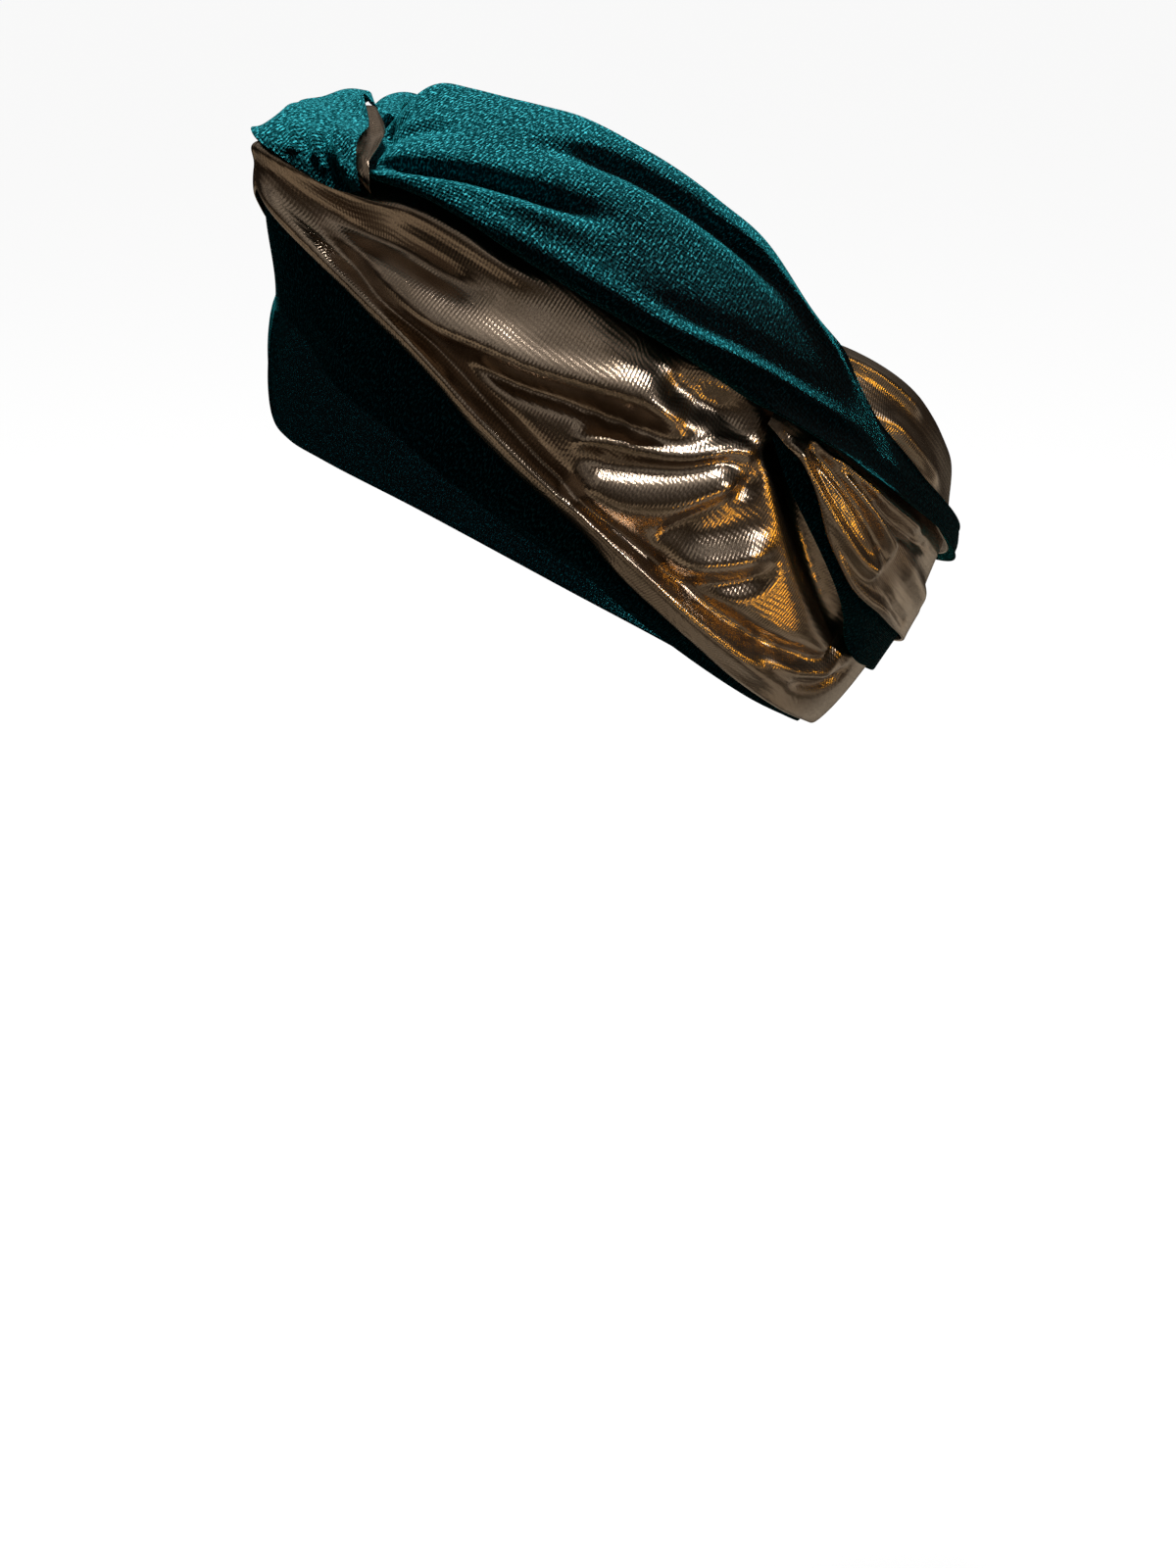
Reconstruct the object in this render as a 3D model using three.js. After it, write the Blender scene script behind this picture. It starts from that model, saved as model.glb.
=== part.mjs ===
// Turban headwrap in its worn shape: one long cloth strip, velvet on one face and lame on the
// other, laid round the nape, twisted at the forehead and taken back over its own first pass.
// Millimetres, +Z up, face towards -Y, wearer's left towards +X. The origin is the middle of
// the ring that rests on the head.
//
// Every sheet is laid on one head form. A place on it is an angle round the ring (0 at the
// forehead, 90 over the wearer's left ear, 180 at the nape), a height along the head from the
// ring's middle plane, and a lift off the head. Heights in the tables are shares of `reach`,
// lifts and fold heights are shares of `loft`, fold widths are shares of `foldWidth`.
import * as THREE from 'three';

// Head form, in millimetres and degrees.
const headHalfWidth = 76;
const headHalfDepth = 105;
const crownHeight = 97;
const browDrop = 100;
const napeDrop = 165;
const ringTilt = 36;

// Cloth, in millimetres.
const reach = 52;
const loft = 10;
const foldWidth = 4;
const velvetWall = 1.5;
const lameWall = 1.2;
const restGap = 0.4;

// The twist stands proud of the forehead: its rise, half its width in degrees, the height of its
// peak and its fall below and above the peak.
const knotRise = 20;
const knotHalfAngle = 9;
const knotHeight = 3;
const knotFallBelow = 20;
const knotFallAbove = 11;

// Roundness of a sheet's cross-section: 2 is an ellipse, more is flatter with tighter edges.
const bandRoundness = 2.6;
const knotRoundness = 2.2;

// Steepest lean of a sheet, as the cosine, at which its wall is still measured square to it.
const steepest = 0.45;

const tilt = ringTilt * Math.PI / 180;
const ringRadius = (headHalfWidth + headHalfDepth) / 2;
const millimetresPerDegree = ringRadius * Math.PI / 180;

// Point at an angle, height and lift on the head form, and the outward direction there.
function headPoint(angle, height, lift) {
  const a = angle * Math.PI / 180;
  const below = browDrop + (napeDrop - browDrop) * (1 - Math.cos(a)) / 2;
  const tall = height > 0 ? crownHeight : below;
  const rise = height / tall;
  const x = headHalfWidth * Math.sin(a) * Math.cos(rise);
  const y = -headHalfDepth * Math.cos(a) * Math.cos(rise);
  const z = tall * Math.sin(rise);
  const out = new THREE.Vector3(x / headHalfWidth ** 2, y / headHalfDepth ** 2, z / tall ** 2);
  out.normalize();
  out.applyAxisAngle(new THREE.Vector3(1, 0, 0), -tilt);
  const point = new THREE.Vector3(x, y, z).applyAxisAngle(new THREE.Vector3(1, 0, 0), -tilt);
  point.addScaledVector(out, lift);
  return { point, out };
}

// Degrees from -180 to 180.
function turn(angle) {
  return ((angle % 360) + 540) % 360 - 180;
}

// How far the twist lifts every layer over it.
function twistLift(angle, height) {
  const fall = height < knotHeight ? knotFallBelow : knotFallAbove;
  const round = Math.exp(-((turn(angle) / knotHalfAngle) ** 2));
  return knotRise * round * Math.exp(-(((height - knotHeight) / fall) ** 2));
}

// Smooth curve through table rows: the first column is the angle, the rest are values.
function readTable(rows, angle) {
  const sign = rows[rows.length - 1][0] > rows[0][0] ? 1 : -1;
  const at = rows.map((row) => row[0] * sign);
  const x = Math.min(Math.max(angle * sign, at[0]), at[at.length - 1]);
  let i = 0;
  while (i < rows.length - 2 && x > at[i + 1]) {
    i += 1;
  }
  const span = at[i + 1] - at[i];
  const t = (x - at[i]) / span;
  const slope = (k, column) => {
    const rise = (m) => (rows[m + 1][column] - rows[m][column]) / (at[m + 1] - at[m]);
    if (k === 0) {
      return rise(0);
    }
    if (k === rows.length - 1) {
      return rise(k - 1);
    }
    const before = at[k] - at[k - 1];
    const after = at[k + 1] - at[k];
    return (rise(k - 1) * after + rise(k) * before) / (before + after);
  };
  return rows[0].slice(1).map((_, n) => {
    const c = n + 1;
    const ends = rows[i][c] * (2 * t ** 3 - 3 * t ** 2 + 1) + rows[i + 1][c] * (3 * t ** 2 - 2 * t ** 3);
    const lean = slope(i, c) * (t ** 3 - 2 * t ** 2 + t) + slope(i + 1, c) * (t ** 3 - t ** 2);
    return ends + lean * span;
  });
}

// Height added by folds: each is a line of places with a height (below zero for a valley) and a
// half width at its two ends, fading out towards them.
const fadeLength = 6;
const fadeFloor = 0.25;
function foldLift(folds, angle, height) {
  let sum = 0;
  for (const fold of folds) {
    const last = fold.line.length - 1;
    let nearest = Infinity;
    let along = 0;
    for (let k = 0; k < last; k += 1) {
      const [a0, h0] = fold.line[k];
      const [a1, h1] = fold.line[k + 1];
      const dx = (a1 - a0) * millimetresPerDegree;
      const dy = (h1 - h0) * reach;
      const x = turn(angle - a0) * millimetresPerDegree;
      const y = height - h0 * reach;
      const t = Math.min(Math.max((x * dx + y * dy) / (dx * dx + dy * dy), 0), 1);
      const distance = Math.hypot(x - t * dx, y - t * dy);
      if (distance < nearest) {
        nearest = distance;
        along = (k + t) / last;
      }
    }
    const width = foldWidth * (fold.start + (fold.end - fold.start) * along);
    const fade = Math.min(1, Math.min(along, 1 - along) * fadeLength + fadeFloor);
    sum += fold.rise * loft * fade * Math.exp(-((nearest / width) ** 2));
  }
  return sum;
}

// What already lies on the head: the lift of the topmost sheet in each cell of a fine raster.
const cellsAround = 360;
const cellsUp = 160;
const cellHeight = reach / 48;
const lowest = -cellsUp / 2 * cellHeight;
const nothing = -1000;
const cover = new Float64Array(cellsAround * cellsUp).fill(nothing);

function cellOf(angle, height) {
  const a = Math.floor(((angle % 360) + 360) % 360 / 360 * cellsAround);
  const h = Math.round((height - lowest) / cellHeight);
  return [a, Math.min(Math.max(h, 1), cellsUp - 2)];
}

function coverAround(angle, height) {
  const [a, h] = cellOf(angle, height);
  let top = nothing;
  for (let i = -1; i <= 1; i += 1) {
    for (let j = -1; j <= 1; j += 1) {
      top = Math.max(top, cover[(a + i + cellsAround) % cellsAround * cellsUp + h + j]);
    }
  }
  return top;
}

// Calls visit(angle, height, share of each corner) over one cell of a sheet, in small steps.
const samples = 6;
function overCell(angles, heights, i, j, visit) {
  for (let p = 0; p <= samples; p += 1) {
    for (let q = 0; q <= samples; q += 1) {
      const s = p / samples;
      const t = q / samples;
      const share = [(1 - s) * (1 - t), s * (1 - t), (1 - s) * t, s * t];
      const spots = [[i, j], [i + 1, j], [i, j + 1], [i + 1, j + 1]];
      let angle = 0;
      let height = 0;
      spots.forEach(([m, n], k) => {
        angle += angles[m] * share[k];
        height += heights[m][n] * share[k];
      });
      visit(angle, height, share, spots);
    }
  }
}

// A sheet lifted by what lies under it carries its neighbouring cells up by this share of the
// raise, over this many cells.
const spreadShare = 0.5;
const spreads = 3;

// One closed sheet laid over everything below it. Table rows hold the angle, the low and high
// edge, the lift at the two edges and the puff between them. Gathers run the length of a sheet:
// share of its width, rise, half width as a share of the width.
function laySheet(name, rows, cells, wall, material, folds, roundness, gathers) {
  const [along, across] = cells;
  const first = rows[0][0];
  const angles = [];
  for (let i = 0; i <= along; i += 1) {
    angles.push(first + (rows[rows.length - 1][0] - first) * i / along);
  }
  const heights = [];
  const inner = [];
  for (const angle of angles) {
    const [low, high, lowLift, highLift, puff] = readTable(rows, angle);
    const heightRow = [];
    const liftRow = [];
    for (let j = 0; j <= across; j += 1) {
      const v = (1 - Math.cos(Math.PI * j / across)) / 2;
      const height = (low + (high - low) * v) * reach;
      const arch = (1 - Math.abs(2 * v - 1) ** roundness) ** (1 / roundness);
      let own = lowLift + (highLift - lowLift) * v + puff * arch;
      for (const [at, rise, half] of gathers) {
        own += rise * Math.exp(-(((v - at) / half) ** 2));
      }
      heightRow.push(height);
      liftRow.push(own * loft + foldLift(folds, angle, height) + twistLift(angle, height));
    }
    heights.push(heightRow);
    inner.push(liftRow);
  }
  const eachCell = (visit) => {
    for (let i = 0; i < along; i += 1) {
      for (let j = 0; j < across; j += 1) {
        visit(i, j);
      }
    }
  };
  const raise = inner.map((row) => row.map(() => 0));
  eachCell((i, j) => {
    let short = 0;
    overCell(angles, heights, i, j, (angle, height, share, spots) => {
      const lift = spots.reduce((sum, [m, n], k) => sum + inner[m][n] * share[k], 0);
      short = Math.max(short, coverAround(angle, height) + restGap - lift);
    });
    for (const [m, n] of [[i, j], [i + 1, j], [i, j + 1], [i + 1, j + 1]]) {
      raise[m][n] = Math.max(raise[m][n], short);
    }
  });
  for (let pass = 0; pass < spreads; pass += 1) {
    const before = raise.map((row) => [...row]);
    raise.forEach((row, i) => row.forEach((own, j) => {
      const beside = [before[i - 1]?.[j], before[i + 1]?.[j], before[i][j - 1], before[i][j + 1]];
      row[j] = Math.max(own, ...beside.map((value) => (value ?? 0) * spreadShare));
    }));
  }
  inner.forEach((row, i) => row.forEach((lift, j) => {
    row[j] = lift + raise[i][j];
  }));
  const outer = inner.map((row, i) => row.map((lift, j) => {
    const place = (m, n) => headPoint(angles[m], heights[m][n], inner[m][n]).point;
    const down = place(i, Math.max(j - 1, 0)).sub(place(i, Math.min(j + 1, across)));
    const back = place(Math.max(i - 1, 0), j).sub(place(Math.min(i + 1, along), j));
    const square = down.cross(back).normalize();
    const lean = Math.abs(square.dot(headPoint(angles[i], heights[i][j], 0).out));
    return lift + wall / Math.max(lean, steepest);
  }));
  eachCell((i, j) => {
    overCell(angles, heights, i, j, (angle, height, share, spots) => {
      const lift = spots.reduce((sum, [m, n], k) => sum + outer[m][n] * share[k], 0);
      const [a, h] = cellOf(angle, height);
      cover[a * cellsUp + h] = Math.max(cover[a * cellsUp + h], lift);
    });
  });
  return sheetMesh(name, angles, heights, inner, outer, material);
}

// Closed body between an inner and an outer grid.
function sheetMesh(name, angles, heights, inner, outer, material) {
  const wide = heights[0].length;
  const closed = Math.abs(angles[angles.length - 1] - angles[0]) === 360;
  const long = closed ? angles.length - 1 : angles.length;
  const positions = [];
  for (const lifts of [outer, inner]) {
    for (let i = 0; i < long; i += 1) {
      heights[i].forEach((height, j) => {
        positions.push(...headPoint(angles[i], height, lifts[i][j]).point.toArray());
      });
    }
  }
  const index = [];
  const outside = (i, j) => (i % long) * wide + j;
  const inside = (i, j) => (long + i % long) * wide + j;
  const quad = (a, b, c, d) => {
    index.push(a, b, c, a, c, d);
  };
  for (let i = 0; i < angles.length - 1; i += 1) {
    for (let j = 0; j < wide - 1; j += 1) {
      quad(outside(i, j), outside(i + 1, j), outside(i + 1, j + 1), outside(i, j + 1));
      quad(inside(i, j), inside(i, j + 1), inside(i + 1, j + 1), inside(i + 1, j));
    }
    quad(outside(i + 1, 0), outside(i, 0), inside(i, 0), inside(i + 1, 0));
    quad(outside(i, wide - 1), outside(i + 1, wide - 1), inside(i + 1, wide - 1), inside(i, wide - 1));
  }
  for (let j = 0; j < wide - 1 && !closed; j += 1) {
    quad(outside(0, j), outside(0, j + 1), inside(0, j + 1), inside(0, j));
    quad(outside(long - 1, j + 1), outside(long - 1, j), inside(long - 1, j), inside(long - 1, j + 1));
  }
  if (angles[long - 1] < angles[0]) {
    for (let k = 0; k < index.length; k += 3) {
      [index[k + 1], index[k + 2]] = [index[k + 2], index[k + 1]];
    }
  }
  const geometry = new THREE.BufferGeometry();
  geometry.setAttribute('position', new THREE.Float32BufferAttribute(positions, 3));
  geometry.setIndex(index);
  geometry.computeVertexNormals();
  const mesh = new THREE.Mesh(geometry, material.clone());
  mesh.name = name;
  return mesh;
}

// Lower band, lame face out: from the twist round the nape and back. Its velvet face lies under
// it and shows below its lower edge and inside the ring.
const liningRows = [
  [0, -0.538, 0.115, 0.4, 0.45, 0],
  [5, -0.577, 0.135, 0.25, 0.4, 0],
  [18, -0.737, 0.154, 0.15, 0.2, 0],
  [34.6, -0.8, 0.173, 0.15, 0.15, 0],
  [50, -0.877, 0.231, 0.15, 0.15, 0],
  [62.7, -0.912, 0.269, 0.15, 0.15, 0],
  [76, -0.919, 0.346, 0.15, 0.15, 0],
  [85, -0.963, 0.385, 0.15, 0.15, 0],
  [99.6, -1, 0.423, 0.15, 0.15, 0],
  [117, -1.012, 0.462, 0.15, 0.15, 0],
  [135, -0.987, 0.481, 0.15, 0.15, 0],
  [180, -0.962, 0.481, 0.15, 0.15, 0],
  [210, -0.981, 0.481, 0.15, 0.15, 0],
  [240, -1.038, 0.442, 0.15, 0.15, 0],
  [270, -1.096, 0.346, 0.15, 0.15, 0],
  [300, -1.154, 0.25, 0.15, 0.15, 0],
  [315, -1.154, 0.212, 0.15, 0.15, 0],
  [328, -1.077, 0.173, 0.15, 0.15, 0],
  [336, -0.923, 0.154, 0.15, 0.2, 0],
  [343, -0.731, 0.144, 0.2, 0.3, 0],
  [350, -0.577, 0.135, 0.3, 0.4, 0],
  [360, -0.538, 0.115, 0.4, 0.45, 0],
];
const lowerRows = [
  [0, -0.096, 0.121, 0.7, 0.7, 0.1],
  [6, -0.173, 0.154, 0.55, 0.55, 0.15],
  [15.9, -0.29, 0.183, 0.35, 0.65, 0.25],
  [36.9, -0.467, 0.202, 0.35, 0.65, 0.4],
  [42, -0.519, 0.212, 0.35, 0.4, 0.5],
  [48, -0.558, 0.288, 0.35, 0.35, 0.5],
  [52, -0.621, 0.327, 0.35, 0.35, 0.5],
  [65, -0.762, 0.365, 0.35, 0.35, 0.6],
  [77.7, -0.86, 0.423, 0.35, 0.35, 0.6],
  [94.6, -0.908, 0.462, 0.35, 0.35, 0.6],
  [117, -0.954, 0.5, 0.35, 0.35, 0.6],
  [150, -0.933, 0.519, 0.35, 0.35, 0.6],
  [180, -0.923, 0.519, 0.35, 0.35, 0.6],
  [210, -0.904, 0.519, 0.35, 0.35, 0.6],
  [240, -0.904, 0.481, 0.35, 0.35, 0.6],
  [270, -0.904, 0.385, 0.35, 0.35, 0.6],
  [300, -0.808, 0.288, 0.35, 0.35, 0.5],
  [315, -0.692, 0.231, 0.35, 0.35, 0.5],
  [330, -0.519, 0.192, 0.35, 0.5, 0.4],
  [340, -0.365, 0.173, 0.35, 0.55, 0.3],
  [350, -0.192, 0.144, 0.5, 0.6, 0.15],
  [360, -0.096, 0.121, 0.7, 0.7, 0.1],
];
const lowerFolds = [
  {
    line: [[34.6, -0.308], [48.1, -0.175], [60, -0.096], [70.5, -0.038], [76.4, -0.079]],
    rise: 0.35,
    start: 0.75,
    end: 0.875,
  },
  {
    line: [[2.9, -0.065], [31, -0.233], [52, -0.392], [78.9, -0.633], [99.7, -0.662], [118.5, -0.637]],
    rise: -0.3,
    start: 0.75,
    end: 1.5,
  },
  {
    line: [[61.9, -0.348], [68.6, -0.221], [76.7, -0.119], [87.2, -0.013]],
    rise: 0.35,
    start: 1,
    end: 0.75,
  },
  {
    line: [[89.1, 0.254], [100.1, 0.008], [113, -0.204], [128.9, -0.402]],
    rise: -0.5,
    start: 1.25,
    end: 1.25,
  },
  {
    line: [[16, -0.269], [52, -0.596], [78, -0.827], [117, -0.904]],
    rise: 0.15,
    start: 0.4,
    end: 0.45,
  },
];

// Tail of the left end: it turns lame side out from under the upper band, crosses the nape and
// tucks under the right tail.
const leftTailLiningRows = [
  [86, 0.173, 0.269, 0.9, 0.9, 0],
  [92, 0.058, 0.269, 0.85, 0.85, 0],
  [104, -0.131, 0.192, 0.8, 0.8, 0],
  [116, -0.302, 0.096, 0.7, 0.8, 0.05],
  [129, -0.481, 0, 0.5, 0.7, 0.1],
  [142, -0.471, -0.038, 0.4, 0.7, 0.15],
  [180, -0.462, -0.077, 0.3, 0.4, 0.2],
  [215, -0.5, -0.192, 0.3, 0.4, 0.2],
  [240, -0.423, -0.154, 0.3, 0.3, 0.1],
  [250, -0.346, -0.154, 0.3, 0.3, 0],
];
const leftTailRows = [
  [84, 0.212, 0.327, 1, 1, 0],
  [92, 0.127, 0.385, 1.1, 1.1, 0.1],
  [104, -0.094, 0.423, 1.1, 0.8, 0.3],
  [112, -0.196, 0.423, 1.1, 0.7, 0.5],
  [124, -0.225, 0.404, 1, 0.6, 0.55],
  [149, -0.231, 0.346, 0.8, 0.5, 0.6],
  [180, -0.269, 0.231, 0.5, 0.4, 0.6],
  [215, -0.385, 0.115, 0.3, 0.3, 0.6],
  [240, -0.346, 0.115, 0.2, 0.2, 0.4],
  [252, -0.231, 0.096, 0.2, 0.2, 0.1],
];
const leftTailFolds = [
  {
    line: [[86.9, 0.242], [95.2, 0.181], [109.5, -0.008], [117.3, -0.01]],
    rise: 0.3,
    start: 0.5,
    end: 0.75,
  },
  {
    line: [[88.8, 0.271], [101.9, 0.25], [120.3, 0.223], [133.7, 0.217]],
    rise: 0.25,
    start: 0.5,
    end: 0.75,
  },
  {
    line: [[88.1, 0.231], [103.2, -0.054], [122.5, -0.185], [139.7, -0.16]],
    rise: 0.2,
    start: 0.375,
    end: 0.5,
  },
];

// Tail of the right end: it crosses the back higher up and tucks under the left upper band.
const rightTailRows = [
  [80, 0.577, 0.692, 0.3, 0.3, 0],
  [84, 0.538, 0.712, 0.3, 0.3, 0],
  [89, 0.462, 0.744, 0.3, 0.2, 0.3],
  [96, 0.385, 0.829, 0.2, 0.15, 0.3],
  [106, 0.346, 0.862, 0.15, 0.15, 0.25],
  [117, 0.346, 0.858, 0.15, 0.12, 0.2],
  [123, 0.346, 0.827, 0.15, 0.12, 0.15],
  [135, 0.327, 0.808, 0.15, 0.12, 0.12],
  [150, 0.308, 0.788, 0.2, 0.15, 0.25],
  [180, 0.269, 0.769, 0.2, 0.15, 0.5],
  [200, 0.192, 0.731, 0.2, 0.15, 0.6],
  [215, 0.096, 0.654, 0.3, 0.2, 0.6],
  [230, -0.077, 0.577, 0.4, 0.3, 0.6],
  [245, -0.154, 0.5, 0.5, 0.4, 0.5],
  [256, -0.038, 0.462, 0.7, 0.6, 0.3],
  [268, 0.154, 0.385, 0.8, 0.8, 0.1],
  [276, 0.212, 0.327, 0.8, 0.8, 0],
];

// Upper bands, velvet out: each leaves the twist pinched, opens over the temple and narrows to a
// roll behind the ear.
const leftUpperRows = [
  [1, 0.327, 0.538, 0.2, 0.25, 0.15],
  [5, 0.231, 0.663, 0.2, 0.4, 0.25],
  [9, 0.154, 0.769, 0.25, 0.55, 0.5],
  [13, 0.096, 0.837, 0.25, 0.55, 0.75],
  [24, 0.058, 0.952, 0.3, 0.45, 0.95],
  [34, 0.077, 1.019, 0.3, 0.4, 1.05],
  [40, 0.115, 1.029, 0.3, 0.35, 1.1],
  [44, 0.177, 1.038, 0.45, 0.35, 1.1],
  [50, 0.177, 1.05, 0.65, 0.35, 1.05],
  [54.5, 0.181, 1.05, 0.7, 0.35, 1],
  [69.6, 0.235, 1.01, 0.7, 0.3, 1],
  [83, 0.256, 0.837, 0.75, 0.3, 0.9],
  [90, 0.269, 0.731, 0.8, 0.4, 0.8],
  [101, 0.277, 0.558, 0.8, 0.6, 0.6],
  [114.5, 0.298, 0.471, 0.7, 0.7, 0.5],
  [126, 0.317, 0.458, 0.6, 0.6, 0.45],
  [145, 0.298, 0.442, 0.5, 0.5, 0.4],
  [170, 0.269, 0.385, 0.4, 0.4, 0.4],
  [190, 0.24, 0.308, 0.3, 0.3, 0.2],
];
const leftUpperFolds = [
  {
    line: [[10.5, 0.304], [29.2, 0.448], [48, 0.577], [62.4, 0.633]],
    rise: -0.5,
    start: 0.625,
    end: 0.875,
  },
  {
    line: [[24.7, 0.673], [43.6, 0.825], [61.5, 0.825], [73.2, 0.827], [86.5, 0.796]],
    rise: -0.25,
    start: 0.5,
    end: 0.5,
  },
  {
    line: [[22.7, 0.2], [45, 0.321], [68.7, 0.348], [82.1, 0.419], [99.4, 0.483]],
    rise: 0.2,
    start: 0.75,
    end: 1,
  },
];
const rightUpperRows = [
  [359, 0.327, 0.538, 0.2, 0.2, 0.15],
  [354, 0.231, 0.615, 0.25, 0.3, 0.25],
  [347, 0.154, 0.692, 0.3, 0.4, 0.5],
  [336, 0.077, 0.808, 0.3, 0.45, 0.8],
  [322, 0.077, 0.904, 0.3, 0.4, 0.95],
  [310, 0.154, 0.962, 0.45, 0.35, 1.05],
  [292, 0.221, 0.981, 0.7, 0.3, 1],
  [277, 0.25, 0.885, 0.75, 0.3, 0.9],
  [268, 0.269, 0.769, 0.7, 0.4, 0.7],
  [256, 0.298, 0.635, 0.6, 0.5, 0.55],
  [240, 0.356, 0.567, 0.4, 0.4, 0.5],
  [222, 0.433, 0.615, 0.3, 0.3, 0.5],
  [205, 0.519, 0.683, 0.3, 0.3, 0.45],
  [185, 0.625, 0.74, 0.3, 0.3, 0.4],
  [165, 0.702, 0.76, 0.3, 0.3, 0.2],
];

// Loop of the twist: a gathered saddle of velvet over the forehead, with its lame face showing at
// the rear edge.
const loopLiningRows = [
  [9, 0.202, 0.279, 0.6, 0.6, 0],
  [5, 0.269, 0.413, 0.6, 0.6, 0.1],
  [1, 0.327, 0.538, 0.6, 0.65, 0.3],
  [-4, 0.365, 0.615, 0.7, 0.65, 0.5],
  [-9, 0.404, 0.673, 0.7, 0.6, 0.6],
];
const loopRows = [
  [12, 0.135, 0.192, 0.9, 0.8, 0],
  [9, 0.121, 0.26, 1.2, 0.85, 0.1],
  [5, 0.115, 0.385, 1.6, 0.9, 0.3],
  [0, 0.115, 0.519, 1.8, 1, 0.8],
  [-4, 0.115, 0.577, 1.9, 1, 0.95],
  [-9, 0.112, 0.635, 1.8, 0.9, 1.05],
  [-15, 0.112, 0.673, 1.3, 0.7, 1],
  [-22, 0.125, 0.692, 0.7, 0.5, 0.75],
  [-29, 0.154, 0.654, 0.3, 0.3, 0.4],
];
const loopGathers = [
  [0.3, 0.12, 0.12],
  [0.5, -0.22, 0.05],
  [0.64, -0.22, 0.045],
  [0.77, -0.2, 0.045],
];

const velvet = new THREE.MeshStandardMaterial({ color: 0x0b4a48, roughness: 0.85, metalness: 0 });
const lame = new THREE.MeshStandardMaterial({ color: 0x6f5636, roughness: 0.35, metalness: 0.6 });

// Laid in the order in which the strip is put on: cells along and across each sheet.
const sheets = [
  ['lower_band_lining', liningRows, [66, 5], velvetWall, velvet, [], bandRoundness, []],
  ['lower_band', lowerRows, [68, 11], lameWall, lame, lowerFolds, bandRoundness, []],
  ['left_tail_lining', leftTailLiningRows, [30, 4], velvetWall, velvet, [], bandRoundness, []],
  ['left_tail', leftTailRows, [32, 7], lameWall, lame, leftTailFolds, bandRoundness, []],
  ['right_tail', rightTailRows, [36, 6], lameWall, lame, [], bandRoundness, []],
  ['left_upper_band', leftUpperRows, [42, 9], velvetWall, velvet, leftUpperFolds, bandRoundness, []],
  ['right_upper_band', rightUpperRows, [38, 7], velvetWall, velvet, [], bandRoundness, []],
  ['knot_loop_lining', loopLiningRows, [7, 6], lameWall, lame, [], knotRoundness, []],
  ['knot_loop', loopRows, [13, 18], velvetWall, velvet, [], knotRoundness, loopGathers],
];

const group = new THREE.Group();
group.name = 'turban_headwrap';
for (const sheet of sheets) {
  group.add(laySheet(...sheet));
}

export default group;
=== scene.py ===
# %% [markdown]
# # A twisted turban headwrap
# The object is one long strip of cloth, teal stretch velvet on one face and bronze foil knit on
# the other. It goes round the nape, crosses in a twist over the forehead, and its ends run back
# over the first pass and are tucked in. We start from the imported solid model, which gives every
# sheet its place, and lay a finer sheet of cloth over each of its solids.

# %% Load the fixed frame
import math
import bpy
import numpy as np
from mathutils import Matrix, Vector


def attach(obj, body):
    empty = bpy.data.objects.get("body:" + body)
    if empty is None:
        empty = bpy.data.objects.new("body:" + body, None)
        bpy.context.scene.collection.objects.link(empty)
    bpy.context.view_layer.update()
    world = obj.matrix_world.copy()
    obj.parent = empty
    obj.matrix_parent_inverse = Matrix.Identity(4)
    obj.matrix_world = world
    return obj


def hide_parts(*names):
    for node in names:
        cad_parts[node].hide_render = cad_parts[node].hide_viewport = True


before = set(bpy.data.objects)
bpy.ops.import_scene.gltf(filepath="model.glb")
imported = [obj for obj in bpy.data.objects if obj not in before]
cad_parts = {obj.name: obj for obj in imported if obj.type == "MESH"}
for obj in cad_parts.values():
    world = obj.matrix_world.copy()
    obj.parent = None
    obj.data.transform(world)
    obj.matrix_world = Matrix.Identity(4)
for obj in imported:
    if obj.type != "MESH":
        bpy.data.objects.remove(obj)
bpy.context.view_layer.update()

# %% [markdown]
# ## Camera
# The picture was taken from the wearer's left, a little above, from about 0.7 m away with the
# long lens of a phone. A camera needs a place, a direction and a lens length. The lens is worked
# out from the focal length in pixels on a picture 1600 pixels tall.

# %% Camera
FOCAL_PIXELS = 2450
PICTURE_HEIGHT = 1600
SENSOR = 36.0
CAMERA_PLACE = Vector((0.61684, -0.32798, 0.17418))
CAMERA_PITCH = math.radians(-22.795)
CAMERA_YAW = math.radians(152.762)
CAMERA_REACH = 20
look = Vector((math.cos(CAMERA_PITCH) * math.cos(CAMERA_YAW),
               math.cos(CAMERA_PITCH) * math.sin(CAMERA_YAW), math.sin(CAMERA_PITCH)))
bpy.ops.object.camera_add(location=CAMERA_PLACE, rotation=look.to_track_quat("-Z", "Y").to_euler())
camera = bpy.context.object
camera.data.sensor_fit = "VERTICAL"
camera.data.sensor_height = SENSOR
camera.data.lens = FOCAL_PIXELS / PICTURE_HEIGHT * SENSOR
camera.data.clip_end = CAMERA_REACH
bpy.context.scene.camera = camera
print("lens", round(camera.data.lens, 1), "mm")

# %% [markdown]
# ## The head form
# Cloth that is worn takes the shape of the head, so every sheet is described on a smooth head
# form: an angle round the ring (0 at the forehead, 90 over the left ear), a height along the head
# and a lift off it, all in degrees and millimetres. The ring is tilted, high over the forehead
# and low at the nape. An ellipsoid with a longer lower half at the back is enough.

# %% Head form
HALF_WIDTH, HALF_DEPTH, CROWN = 76.0, 105.0, 97.0
BROW_DROP, NAPE_DROP = 100.0, 165.0
RING_TILT = math.radians(36)
MM_PER_DEGREE = (HALF_WIDTH + HALF_DEPTH) / 2 * math.pi / 180
MM_PER_METRE = 1000


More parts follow.
